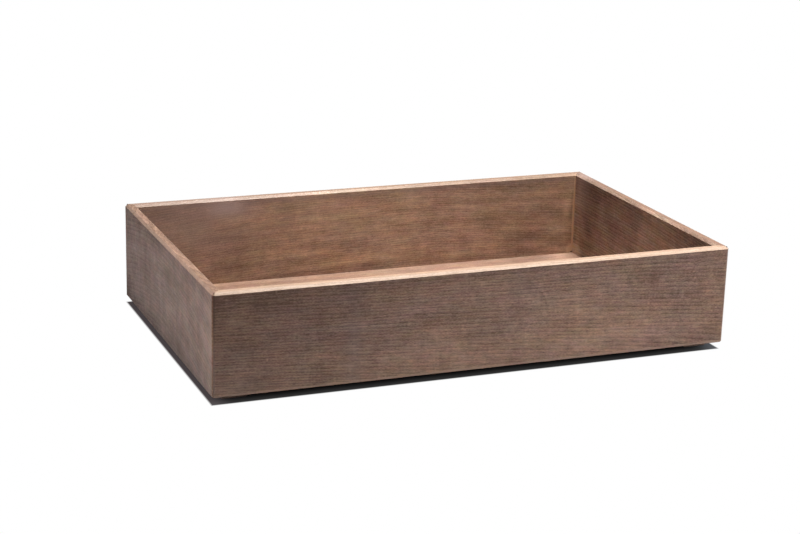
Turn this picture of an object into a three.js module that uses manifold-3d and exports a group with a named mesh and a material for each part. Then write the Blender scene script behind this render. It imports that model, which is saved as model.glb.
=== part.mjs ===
// A shallow wooden crate with mitred corners, a let-in base panel and four screwed-on feet.
// Units are millimetres, +Z is up, and the origin is on the ground under the centre of the crate.
// The long front wall faces -Y.

import * as THREE from 'three';
import { mergeVertices } from 'three/addons/utils/BufferGeometryUtils.js';
import Module from 'manifold-3d';

const wasm = await Module();
wasm.setup();

// Overall size
const crateLength = 530;
const crateWidth = 325;

// Wall boards
const wallHeight = 99.4;
const wallThickness = 10.6;
const rimChamfer = 2.3;
const cornerChamfer = 2.3;
const bottomChamfer = 0.8;
const groundClearance = 6.1;
const mitreGap = 0.24;

// Base panel, let into a rebate that is cut round the inside of the walls
const baseThickness = 6;
const baseSetback = 0.6;
const rebateWidth = 5.5;
const rebateFit = 0.25;

// Loose tongues that lock the mitred corners
const splineThickness = 3;
const splineWidth = 6.5;
const splineAboveRebate = 6;
const splineBelowRim = 12;
const splineFit = 0.25;

// Feet, placed so that a stacked crate drops inside the rim of the one below
const footSize = 25;
const footCornerRadius = 2;
const footEase = 0.8;
const stackingClearance = 1.5;
const footBoreDiameter = 4.2;
const footPocketDiameter = 11;
const footPocketDepth = 4.3;
const seatGap = 0.12;

// Washers and screws that hold the feet
const washerDiameter = 10;
const washerThickness = 0.8;
const screwDiameter = 3.5;
const screwLength = 8;
const screwTipLength = 2;
const screwTipDiameter = 0.8;
const screwHeadDiameter = 7;
const screwHeadHeight = 1.9;
const screwHeadEase = 0.7;
const driveSlotLength = 4;
const driveSlotWidth = 0.9;
const driveSlotDepth = 1.1;
const holeFit = 0.25;

// Panel pins that hold the base up against its rebate
const pinDiameter = 1.4;
const pinLength = 18;
const pinPointLength = 2.2;
const pinPointDiameter = 0.3;
const pinSetback = 0.3;
const pinFromPanelEdge = 2.6;
const pinsOnLongSide = 4;
const pinsOnShortSide = 3;
const pinFromPanelEnd = 50;

// How far a cutting shape runs past the face that it cuts
const cutOverrun = 3;

// Smoothness of the round stretches, and the one step that turns a round corner into a chamfer
const arcSteps = 6;
const chamferSteps = 1;
const roundSides = 24;
const pinSides = 12;

// Heights and half sizes that follow from the sizes above
const wallBottom = groundClearance;
const wallTop = wallBottom + wallHeight;
const baseBottom = wallBottom + baseSetback;
const baseTop = baseBottom + baseThickness;
const rebateTop = baseTop + rebateFit;
const halfLength = crateLength / 2;
const halfWidth = crateWidth / 2;
const baseLength = crateLength - 2 * (wallThickness - rebateWidth + rebateFit);
const baseWidth = crateWidth - 2 * (wallThickness - rebateWidth + rebateFit);
const footHeight = baseBottom - seatGap;
const footFromFace = wallThickness + stackingClearance + footSize / 2;
const footX = halfLength - footFromFace;
const footY = halfWidth - footFromFace;
const quarterTurn = Math.PI / 2;

// Share of an inset that comes off the leg of a chamfered corner when its outline shrinks evenly
const chamferShrinkShare = 2 - Math.SQRT2;

// Each corner by name, with the signs of its x and y
const corners = [
  { name: 'front_left', x: -1, y: -1 },
  { name: 'front_right', x: 1, y: -1 },
  { name: 'back_right', x: 1, y: 1 },
  { name: 'back_left', x: -1, y: 1 },
];

const woodColor = '#6e5344';
const panelColor = '#8d6a50';
const splineColor = '#c9a878';
const rubberColor = '#4b4440';
const steelColor = '#b9bcc0';

const wallMaterial = new THREE.MeshStandardMaterial({ color: woodColor, roughness: 0.55, metalness: 0 });
const panelMaterial = new THREE.MeshStandardMaterial({ color: panelColor, roughness: 0.55, metalness: 0 });
const splineMaterial = new THREE.MeshStandardMaterial({ color: splineColor, roughness: 0.7, metalness: 0 });
const rubberMaterial = new THREE.MeshStandardMaterial({ color: rubberColor, roughness: 0.85, metalness: 0 });
const steelMaterial = new THREE.MeshStandardMaterial({ color: steelColor, roughness: 0.35, metalness: 1 });

// A rectangle about the origin, counterclockwise, whose corners are rounded in the given steps
function rectangle(length, width, radius, turns) {
  const points = [];
  const x = length / 2 - radius;
  const y = width / 2 - radius;
  const centres = [[x, -y], [x, y], [-x, y], [-x, -y]];
  centres.forEach(([centreX, centreY], quarter) => {
    for (let step = 0; step <= turns; step += 1) {
      const angle = (quarter - 1 + step / Math.max(turns, 1)) * quarterTurn;
      const offset = new THREE.Vector2(Math.cos(angle), Math.sin(angle)).multiplyScalar(radius);
      points.push(offset.add(new THREE.Vector2(centreX, centreY)));
    }
  });
  return points;
}

// A closed body through a stack of outlines, lowest first, that all have the same number of points
function loft(rings) {
  const count = rings[0].outline.length;
  const positions = rings.flatMap((ring) => ring.outline.flatMap((point) => [point.x, point.y, ring.z]));
  const faces = [];
  for (let level = 0; level + 1 < rings.length; level += 1) {
    for (let index = 0; index < count; index += 1) {
      const next = (index + 1) % count;
      const lower = level * count;
      const upper = lower + count;
      faces.push(lower + index, lower + next, upper + next);
      faces.push(lower + index, upper + next, upper + index);
    }
  }
  const lid = (rings.length - 1) * count;
  for (const [a, b, c] of THREE.ShapeUtils.triangulateShape(rings[0].outline, [])) {
    faces.push(c, b, a);
  }
  for (const [a, b, c] of THREE.ShapeUtils.triangulateShape(rings[rings.length - 1].outline, [])) {
    faces.push(lid + a, lid + b, lid + c);
  }
  const geometry = new THREE.BufferGeometry();
  geometry.setAttribute('position', new THREE.Float32BufferAttribute(positions, 3));
  geometry.setIndex(faces);
  return geometry;
}

function solidFrom(geometry) {
  const bare = geometry.clone();
  bare.deleteAttribute('normal');
  bare.deleteAttribute('uv');
  const merged = mergeVertices(bare);
  const mesh = new wasm.Mesh({
    numProp: 3,
    vertProperties: new Float32Array(merged.attributes.position.array),
    triVerts: new Uint32Array(merged.index.array),
  });
  return new wasm.Manifold(mesh);
}

function geometryFrom(solid) {
  const mesh = solid.getMesh();
  const indexed = new THREE.BufferGeometry();
  indexed.setAttribute('position', new THREE.Float32BufferAttribute(mesh.vertProperties, 3));
  indexed.setIndex([...mesh.triVerts]);
  const geometry = indexed.toNonIndexed();
  geometry.computeVertexNormals();
  return geometry;
}

function box(sizeX, sizeY, bottom, top) {
  const geometry = new THREE.BoxGeometry(sizeX, sizeY, top - bottom);
  return geometry.translate(0, 0, (bottom + top) / 2);
}

// A body turned about the Z axis from a profile of [radius, height] points, from the axis to the axis
function turned(profile, sides) {
  const points = profile.map(([radius, height]) => new THREE.Vector2(radius, height));
  return new THREE.LatheGeometry(points, sides).rotateX(quarterTurn);
}

// A plain round body standing on the height called bottom
function cylinder(diameter, bottom, top, sides) {
  const radius = diameter / 2;
  return turned([[0, bottom], [radius, bottom], [radius, top], [0, top]], sides);
}

// The same body at several places in the plane, as one cutting solid
function cutterAt(geometry, places) {
  return places
    .map(([x, y]) => solidFrom(geometry.clone().translate(x, y, 0)))
    .reduce((joined, solid) => joined.add(solid));
}

// The outside of the whole crate, with chamfered vertical corners, rim and bottom edge
function outerBody() {
  const ringAt = (inset, z) => {
    const corner = cornerChamfer - chamferShrinkShare * inset;
    const outline = rectangle(crateLength - 2 * inset, crateWidth - 2 * inset, corner, chamferSteps);
    return { outline, z };
  };
  return solidFrom(loft([
    ringAt(bottomChamfer, wallBottom),
    ringAt(0, wallBottom + bottomChamfer),
    ringAt(0, wallTop - rimChamfer),
    ringAt(rimChamfer, wallTop),
  ]));
}

// The inside of the crate, open at both ends, widening over the chamfered inner rim
function cavity() {
  const ringAt = (spread, z) => {
    const length = crateLength - 2 * (wallThickness - spread);
    const width = crateWidth - 2 * (wallThickness - spread);
    return { outline: rectangle(length, width, 0, 0), z };
  };
  return solidFrom(loft([
    ringAt(0, wallBottom - cutOverrun),
    ringAt(0, wallTop - rimChamfer),
    ringAt(rimChamfer, wallTop),
    ringAt(rimChamfer, wallTop + cutOverrun),
  ]));
}

function rebate() {
  const length = crateLength - 2 * (wallThickness - rebateWidth);
  const width = crateWidth - 2 * (wallThickness - rebateWidth);
  return solidFrom(box(length, width, wallBottom - cutOverrun, rebateTop));
}

// Places of the panel pins, in a row inside each edge of the base panel
function pinPlaces() {
  const places = [];
  const rowX = baseLength / 2 - pinFromPanelEdge;
  const rowY = baseWidth / 2 - pinFromPanelEdge;
  const spread = (count, half) => {
    const reach = half - pinFromPanelEnd;
    return Array.from({ length: count }, (_, index) => -reach + (2 * reach * index) / (count - 1));
  };
  for (const x of spread(pinsOnLongSide, baseLength / 2)) {
    places.push({ side: 'front', x, y: -rowY }, { side: 'back', x, y: rowY });
  }
  for (const y of spread(pinsOnShortSide, baseWidth / 2)) {
    places.push({ side: 'left', x: -rowX, y }, { side: 'right', x: rowX, y });
  }
  return places;
}

function pinCutter() {
  const bottom = wallBottom - cutOverrun;
  const top = baseBottom + pinSetback + pinLength + holeFit;
  const hole = cylinder(pinDiameter + 2 * holeFit, bottom, top, pinSides);
  return cutterAt(hole, pinPlaces().map((place) => [place.x, place.y]));
}

// A loose tongue stands on end across its mitre, halfway through the thickness of the walls
function splineGeometry(fit) {
  const bottom = rebateTop + splineAboveRebate - fit;
  const top = wallTop - splineBelowRim + fit;
  return box(splineThickness + 2 * fit, splineWidth + 2 * fit, bottom, top);
}

function placeSpline(object, corner) {
  const inwards = wallThickness / 2;
  object.position.set(corner.x * (halfLength - inwards), corner.y * (halfWidth - inwards), 0);
  object.rotation.z = corner.x * corner.y * quarterTurn / 2;
  object.updateMatrix();
  return object;
}

function splineCutter() {
  return corners
    .map((corner) => {
      const slot = placeSpline(new THREE.Object3D(), corner);
      return solidFrom(splineGeometry(splineFit).applyMatrix4(slot.matrix));
    })
    .reduce((joined, solid) => joined.add(solid));
}

// The part of the plane that one wall takes up, bounded by the two mitre planes
function mitreWedge(alongX, side) {
  const halfRun = alongX ? halfLength : halfWidth;
  const halfDepth = alongX ? halfWidth : halfLength;
  const depth = wallThickness + cutOverrun;
  const play = mitreGap * Math.SQRT1_2;
  const far = halfRun + cutOverrun - play;
  const near = halfRun - depth - play;
  const outer = halfDepth + cutOverrun;
  const inner = halfDepth - depth;
  const outline = [[-far, -outer], [far, -outer], [near, -inner], [-near, -inner]]
    .map(([run, across]) => new THREE.Vector2(run, across));
  const wedge = loft([
    { outline, z: wallBottom - cutOverrun },
    { outline, z: wallTop + cutOverrun },
  ]);
  const turn = alongX ? 0 : -quarterTurn;
  wedge.rotateZ(turn + (side > 0 ? Math.PI : 0));
  return solidFrom(wedge);
}

// The four walls are cut from one ring, so that the rim and the rebate run on across the corners
function wallMeshes() {
  const ring = outerBody()
    .subtract(cavity())
    .subtract(rebate())
    .subtract(splineCutter())
    .subtract(pinCutter());
  const walls = [
    { name: 'front_wall', alongX: true, side: -1 },
    { name: 'back_wall', alongX: true, side: 1 },
    { name: 'left_wall', alongX: false, side: -1 },
    { name: 'right_wall', alongX: false, side: 1 },
  ];
  return walls.map(({ name, alongX, side }) => {
    const wall = ring.intersect(mitreWedge(alongX, side));
    return named(name, geometryFrom(wall), wallMaterial);
  });
}

function footPlaces() {
  return corners.map((corner) => [corner.x * footX, corner.y * footY]);
}

function basePanelMesh() {
  const screwTip = baseBottom + screwBite() + holeFit;
  const screwHole = cylinder(screwDiameter + 2 * holeFit, baseBottom - cutOverrun, screwTip, roundSides);
  const panel = solidFrom(box(baseLength, baseWidth, baseBottom, baseTop))
    .subtract(cutterAt(screwHole, footPlaces()))
    .subtract(pinCutter());
  return named('base_panel', geometryFrom(panel), panelMaterial);
}

// How far a foot screw reaches into the base panel
function screwBite() {
  return screwSeat() + screwLength - baseBottom;
}

// Height of the underside of the screw head's seat, which is the lower face of the washer
function screwSeat() {
  return footPocketDepth - washerThickness - 2 * seatGap;
}

function footGeometry() {
  const rings = [];
  const addRing = (inset, z) => {
    const size = footSize - 2 * inset;
    rings.push({ outline: rectangle(size, size, footCornerRadius - inset, arcSteps), z });
  };
  for (let step = 0; step <= arcSteps; step += 1) {
    const angle = (step / arcSteps) * quarterTurn;
    addRing(footEase * (1 - Math.sin(angle)), footEase * (1 - Math.cos(angle)));
  }
  addRing(0, footHeight);
  const pocket = cylinder(footPocketDiameter, -cutOverrun, footPocketDepth, roundSides);
  const bore = cylinder(footBoreDiameter, -cutOverrun, footHeight + cutOverrun, roundSides);
  const foot = solidFrom(loft(rings)).subtract(solidFrom(pocket)).subtract(solidFrom(bore));
  return geometryFrom(foot);
}

function washerGeometry() {
  const outer = washerDiameter / 2;
  const inner = screwDiameter / 2 + holeFit;
  const top = footPocketDepth - seatGap;
  const bottom = top - washerThickness;
  return turned([[inner, bottom], [outer, bottom], [outer, top], [inner, top], [inner, bottom]], roundSides);
}

function screwGeometry() {
  const seat = screwSeat();
  const face = seat - screwHeadHeight;
  const rim = screwHeadDiameter / 2;
  const shank = screwDiameter / 2;
  const tip = seat + screwLength;
  const body = turned([
    [0, face],
    [rim - screwHeadEase, face],
    [rim, face + screwHeadEase],
    [rim, seat],
    [shank, seat],
    [shank, tip - screwTipLength],
    [screwTipDiameter / 2, tip],
    [0, tip],
  ], roundSides);
  const slotTop = face + driveSlotDepth;
  const slot = solidFrom(box(driveSlotLength, driveSlotWidth, face - cutOverrun, slotTop));
  const crossSlot = solidFrom(box(driveSlotWidth, driveSlotLength, face - cutOverrun, slotTop));
  return geometryFrom(solidFrom(body).subtract(slot).subtract(crossSlot));
}

function pinGeometry() {
  const bottom = baseBottom + pinSetback;
  const top = bottom + pinLength;
  const radius = pinDiameter / 2;
  return turned([
    [0, bottom],
    [radius, bottom],
    [radius, top - pinPointLength],
    [pinPointDiameter / 2, top],
    [0, top],
  ], pinSides);
}

function named(name, geometry, material) {
  const mesh = new THREE.Mesh(geometry, material);
  mesh.name = name;
  return mesh;
}

// One foot with its washer and screw, placed together under a corner of the base panel
function footGroup(corner) {
  const group = new THREE.Group();
  group.position.set(corner.x * footX, corner.y * footY, 0);
  group.add(named(`foot_${corner.name}`, footGeometry(), rubberMaterial));
  group.add(named(`foot_washer_${corner.name}`, washerGeometry(), steelMaterial));
  group.add(named(`foot_screw_${corner.name}`, screwGeometry(), steelMaterial));
  return group;
}

function splineMesh(corner) {
  return placeSpline(named(`corner_spline_${corner.name}`, splineGeometry(0), splineMaterial), corner);
}

function pinMeshes() {
  const counts = {};
  return pinPlaces().map((place) => {
    counts[place.side] = (counts[place.side] ?? 0) + 1;
    const pin = named(`base_pin_${place.side}_${counts[place.side]}`, pinGeometry(), steelMaterial);
    pin.position.set(place.x, place.y, 0);
    return pin;
  });
}

const crate = new THREE.Group();
crate.add(...wallMeshes());
crate.add(basePanelMesh());
crate.add(...corners.map(splineMesh));
crate.add(...corners.map(footGroup));
crate.add(...pinMeshes());

export default crate;
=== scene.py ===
"""A shallow crate of brown-stained ash on four square feet, its finishes and a plain studio round it."""

import math

import bmesh
import bpy
from bpy.props import FloatProperty, FloatVectorProperty, IntProperty, PointerProperty
from mathutils import Matrix, Vector


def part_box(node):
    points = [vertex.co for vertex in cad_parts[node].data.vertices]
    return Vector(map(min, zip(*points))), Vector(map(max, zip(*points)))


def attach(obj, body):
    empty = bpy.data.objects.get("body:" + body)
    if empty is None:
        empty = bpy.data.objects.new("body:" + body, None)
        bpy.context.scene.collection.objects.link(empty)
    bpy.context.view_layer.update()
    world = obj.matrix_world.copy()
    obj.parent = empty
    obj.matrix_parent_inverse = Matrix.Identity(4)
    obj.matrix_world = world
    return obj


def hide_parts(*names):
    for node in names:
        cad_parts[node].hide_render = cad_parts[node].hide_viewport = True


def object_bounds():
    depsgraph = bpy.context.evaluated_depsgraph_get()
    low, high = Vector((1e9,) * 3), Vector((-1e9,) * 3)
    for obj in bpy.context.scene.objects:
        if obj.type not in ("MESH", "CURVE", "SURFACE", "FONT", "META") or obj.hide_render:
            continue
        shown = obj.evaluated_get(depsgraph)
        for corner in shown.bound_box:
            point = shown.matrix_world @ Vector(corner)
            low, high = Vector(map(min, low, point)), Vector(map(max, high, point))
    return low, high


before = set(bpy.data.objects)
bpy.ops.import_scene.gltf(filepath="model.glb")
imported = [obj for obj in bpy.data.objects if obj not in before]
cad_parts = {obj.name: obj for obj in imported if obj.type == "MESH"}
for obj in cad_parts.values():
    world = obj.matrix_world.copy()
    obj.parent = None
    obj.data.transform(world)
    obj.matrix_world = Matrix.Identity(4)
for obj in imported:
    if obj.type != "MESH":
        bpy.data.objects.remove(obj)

bl_info = {
    "name": "Ash Crate",
    "version": (1, 0, 0),
    "blender": (4, 5, 0),
    "location": "View3D > Sidebar > Crate",
    "description": "Builds the walls, base and feet of a stained ash crate and a plain studio round it",
    "category": "Add Mesh",
}

# Sizes and places read from the frame
CAD_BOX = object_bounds()
CRATE_LOW, CRATE_HIGH = (Vector(corner) for corner in CAD_BOX)
WALL_LOW, WALL_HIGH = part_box("front_wall")
BASE_LOW, BASE_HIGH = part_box("base_panel")
HALF_LENGTH = CRATE_HIGH.x
HALF_WIDTH = CRATE_HIGH.y
WALL_THICKNESS = WALL_HIGH.y - WALL_LOW.y
CORNERS = ("front_left", "front_right", "back_right", "back_left")

# The way that each wall faces
WALLS = {
    "front_wall": Vector((0, -1, 0)),
    "back_wall": Vector((0, 1, 0)),
    "left_wall": Vector((-1, 0, 0)),
    "right_wall": Vector((1, 0, 0)),
}

# A vertex closer than this to a plane lies in it
TOUCH = 1e-6

# A face whose normal has a larger part along one axis than this is square to that axis
SQUARE_SHARE = 0.99

# An edge that turns by more than this is sharp
SHARP_ANGLE = math.radians(20)

# What the faces of the wood are marked with, which its finish reads
ARRIS_LAYER = "arris"
RIM_LAYER = "rim"


def length_setting(name, description, default):
    return FloatProperty(name=name, description=description, default=default, min=0,
                         subtype="DISTANCE", unit="LENGTH")


def color_setting(name, description, default):
    return FloatVectorProperty(name=name, description=description, default=default, size=3,
                               min=0, max=1, subtype="COLOR")


def share_setting(name, description, default):
    return FloatProperty(name=name, description=description, default=default, min=0, max=1,
                         subtype="FACTOR")


class CrateShape(bpy.types.PropertyGroup):
    """Sizes of the wooden pieces that the frame doesn't give."""

    rim_chamfer: length_setting(
        "Rim chamfer", "Width of the chamfers along the top of the walls", default=0.0023)
    corner_chamfer: length_setting(
        "Corner chamfer", "Width of the chamfers down the four outer corners", default=0.0023)
    bottom_chamfer: length_setting(
        "Bottom chamfer", "Width of the chamfer round the bottom edge", default=0.0008)
    arris_rounding: length_setting(
        "Arris rounding", "How far sanding has softened each sharp edge", default=0.00022)
    arris_steps: IntProperty(
        name="Arris steps", description="Steps in each softened edge", default=2, min=1)
    mitre_seam: length_setting(
        "Mitre seam", "Width of the glue line at the mitred corners", default=0.00012)
    lip: length_setting(
        "Lip", "Thickness of the wall outside the rebate for the base", default=0.0051)
    rebate_fit: length_setting(
        "Rebate fit", "Gap between the base panel and the ledge above it", default=0.00008)


class FootShape(bpy.types.PropertyGroup):
    """Sizes of the rubber feet that the frame doesn't give."""

    corner_radius: length_setting(
        "Corner radius", "Radius of the upright corners of a foot", default=0.002)
    tread_rounding: length_setting(
        "Tread rounding", "Rounding round the underside of a foot", default=0.0008)
    pocket_diameter: length_setting(
        "Pocket diameter", "Diameter of the pocket for the screw head", default=0.011)
    pocket_depth: length_setting(
        "Pocket depth", "Depth of the pocket for the screw head", default=0.0043)
    bore_diameter: length_setting(
        "Bore diameter", "Diameter of the hole for the screw", default=0.0042)
    corner_steps: IntProperty(
        name="Corner steps", description="Steps in each rounded corner of a foot", default=5, min=1)
    tread_steps: IntProperty(
        name="Tread steps", description="Steps in the rounding round the underside", default=3, min=1)
    bore_sides: IntProperty(
        name="Bore sides", description="Sides of the pocket and of the hole", default=32, min=8)


class WoodLook(bpy.types.PropertyGroup):
    """Colours and gloss of the stained ash."""

    stain: color_setting(
        "Stain", "Colour of the wood between its grain lines", default=(0.335, 0.205, 0.153))
    dark_grain: color_setting(
        "Dark grain", "Colour of the open grain, where the stain has gathered", default=(0.12, 0.062, 0.042))
    pale_grain: color_setting(
        "Pale grain", "Colour of the hard grain, which takes up little stain", default=(0.66, 0.42, 0.3))
    olive: color_setting(
        "Olive tint", "Tint of the greener zones of a board", default=(0.9, 1, 0.97))
    rosy: color_setting(
        "Rosy tint", "Tint of the redder zones of a board", default=(1, 0.9, 0.93))
    slate: color_setting(
        "Slate tint", "Tint of the cooler zones of a board", default=(0.95, 0.95, 1))
    honey: color_setting(
        "Honey tint", "Tint of the yellower zones of a board", default=(1, 0.99, 0.85))
    # Haze also paints the sheen and reflections of the varnish
    haze_and_sheen: color_setting(
        "Haze", "Colour of the cloudy spots in the varnish", default=(0.39, 0.292, 0.27))
    # Worn pale and worn dark also paint the highlight that the upward chamfers catch
    worn_pale_and_highlight: color_setting(
        "Worn pale", "Colour of the sanded edges, where the wood shows through", default=(0.7, 0.515, 0.42))
    worn_dark_and_highlight: color_setting(
        "Worn dark", "Colour of the grain lines in the sanded edges", default=(0.5, 0.335, 0.255))
    roughness: share_setting(
        "Roughness", "Roughness of the satin varnish", default=0.42)
    gloss: share_setting(
        "Gloss", "Strength of the varnish's shine", default=0.33)
    relief: length_setting(
        "Relief", "Depth of the open grain", default=0.00008)


class FixingLook(bpy.types.PropertyGroup):
    """Colours of the feet, the metal and the hidden wood."""

    rubber: color_setting(
        "Rubber", "Colour of the feet", default=(0.26, 0.165, 0.125))
    rubber_dust: color_setting(
        "Rubber dust", "Colour of the dust and scuffs on the feet", default=(0.37, 0.27, 0.21))
    steel: color_setting(
        "Steel", "Colour of the screws, washers and pins", default=(0.66, 0.66, 0.64))
    dull_steel: color_setting(
        "Dull steel", "Colour of the steel where its plating has dulled", default=(0.42, 0.42, 0.41))
    bare_wood: color_setting(
        "Bare wood", "Colour of the unstained tongues in the corners", default=(0.6, 0.43, 0.26))
    bare_grain: color_setting(
        "Bare grain", "Colour of the grain lines in the tongues", default=(0.42, 0.27, 0.14))


class StudioLook(bpy.types.PropertyGroup):
    """Camera and light."""

    camera_place: FloatVectorProperty(
        name="Camera place", description="Where the camera stands",
        default=(-0.707, -1.69035, 0.6084), size=3, subtype="XYZ", unit="LENGTH")
    camera_turn: FloatProperty(
        name="Camera turn", description="How far the camera stands round from the front, to the right",
        default=math.radians(-22.115), subtype="ANGLE", unit="ROTATION")
    camera_dip: FloatProperty(
        name="Camera dip", description="How far the camera looks down",
        default=math.radians(16.6605), subtype="ANGLE", unit="ROTATION")
    camera_roll: FloatProperty(
        name="Camera roll", description="How far the camera leans about its line of sight",
        default=math.radians(1.58), subtype="ANGLE", unit="ROTATION")
    focal_length: FloatProperty(
        name="Focal length", description="Focal length on the film, in millimetres", default=84.26, min=1)
    film_width: FloatProperty(
        name="Film width", description="Width of the film, in millimetres", default=36, min=1)
    overhead: FloatProperty(
        name="Overhead light", description="Power of the soft light over the crate, in watts",
        default=33, min=0)
    right_fill: FloatProperty(
        name="Right fill", description="Power of the soft light low at the front right, in watts",
        default=1.6, min=0)
    left_fill: FloatProperty(
        name="Left fill", description="Power of the soft light low at the left, in watts",
        default=1.8, min=0)
    floor_bounce: share_setting(
        "Floor bounce", "Share of the light that the floor throws back on the crate", default=0.4)
    # Floor shade paints the crate's shadow as a darker floor under it
    floor_shade: share_setting(
        "Floor shade", "How pale the floor is where the crate's shadow lies on it", default=0.03)


# Shader nodes
# Halfway between two colours, which is also the middle of a noise
MIDDLE_SHARE = 0.5

# The colour sockets of the Mix node, by number, because its other sockets have the same names
MIX_SHARE_SOCKET = 0
MIX_FIRST_SOCKET = 6
MIX_SECOND_SOCKET = 7
MIX_OUTPUT_SOCKET = 2


class Value:
    """The output of a shader node, which can be used in Python sums."""

    def __init__(self, nodes, socket):
        self.nodes = nodes
        self.socket = socket

    def math(self, operation, *others):
        return self.nodes.add("ShaderNodeMath", {"operation": operation}, [self, *others])

    def clamped(self):
        return self.nodes.add("ShaderNodeClamp", None, [self])

    def __add__(self, other):
        return self.math("ADD", other)

    __radd__ = __add__

    def __sub__(self, other):
        return self.math("SUBTRACT", other)

    def __rsub__(self, other):
        return self.nodes.add("ShaderNodeMath", {"operation": "SUBTRACT"}, [other, self])

    def __mul__(self, other):
        return self.math("MULTIPLY", other)

    __rmul__ = __mul__

    def __truediv__(self, other):
        return self.math("DIVIDE", other)


class Nodes:
    """The node tree of one material or world."""

    def __init__(self, owner):
        owner.use_nodes = True
        self.tree = owner.node_tree
        self.tree.nodes.clear()

    def add(self, kind, settings=None, inputs=(), output=0):
        """The output of a new node with these settings, whose sockets have these values or links."""
        node = self.tree.nodes.new(kind)
        for name, value in (settings or {}).items():
            setattr(node, name, value)
        pairs = inputs.items() if isinstance(inputs, dict) else enumerate(inputs)
        for key, value in pairs:
            self.feed(node.inputs[key], value)
        return Value(self, node.outputs[output])

    def feed(self, socket, value):
        if isinstance(value, Value):
            self.tree.links.new(value.socket, socket)
        else:
            socket.default_value = value

    def mix(self, share, first, second, blend="MIX"):
        """A mix of two colours."""
        settings = {"data_type": "RGBA", "blend_type": blend}
        inputs = {MIX_SHARE_SOCKET: share, MIX_FIRST_SOCKET: first, MIX_SECOND_SOCKET: second}
        return self.add("ShaderNodeMix", settings, inputs, MIX_OUTPUT_SOCKET)

    def tinted(self, color, tint):
        """One colour times another."""
        return self.mix(1, color, tint, "MULTIPLY")

    def face_layer(self, layer):
        """What the face at hand is marked with in one of the mesh's layers."""
        return self.add("ShaderNodeAttribute", {"attribute_name": layer}, output="Fac")

    def object_place(self, turn=(0, 0, 0)):
        """The three parts of the place on the object, turned about the origin."""
        place = self.add("ShaderNodeTexCoord", output="Object")
        turned = self.add("ShaderNodeMapping", None, {"Vector": place, "Rotation": turn})
        split = self.tree.nodes.new("ShaderNodeSeparateXYZ")
        self.feed(split.inputs[0], turned)
        return [Value(self, output) for output in split.outputs]

    def clouds(self, place, cell, detail=2):
        """Noise centred on zero, whose spots are as large as the cell."""
        scaled = [part / size for part, size in zip(place, cell)]
        spot = self.add("ShaderNodeCombineXYZ", None, scaled)
        noise = self.add("ShaderNodeTexNoise", None, {"Vector": spot, "Scale": 1, "Detail": detail})
        return noise - MIDDLE_SHARE

    def end(self, kind, shader):
        """Ends the tree with its output node."""
        node = self.tree.nodes.new(kind)
        self.feed(node.inputs["Surface"], shader)

    def surface(self, inputs, height, distance):
        """Ends a material whose surface has a fine relief."""
        relief = self.add("ShaderNodeBump", None, {"Height": height, "Distance": distance, "Strength": 1})
        shader = self.add("ShaderNodeBsdfPrincipled", None, {**inputs, "Normal": relief})
        self.end("ShaderNodeOutputMaterial", shader)


def rgba(color):
    return (*color, 1)
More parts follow.
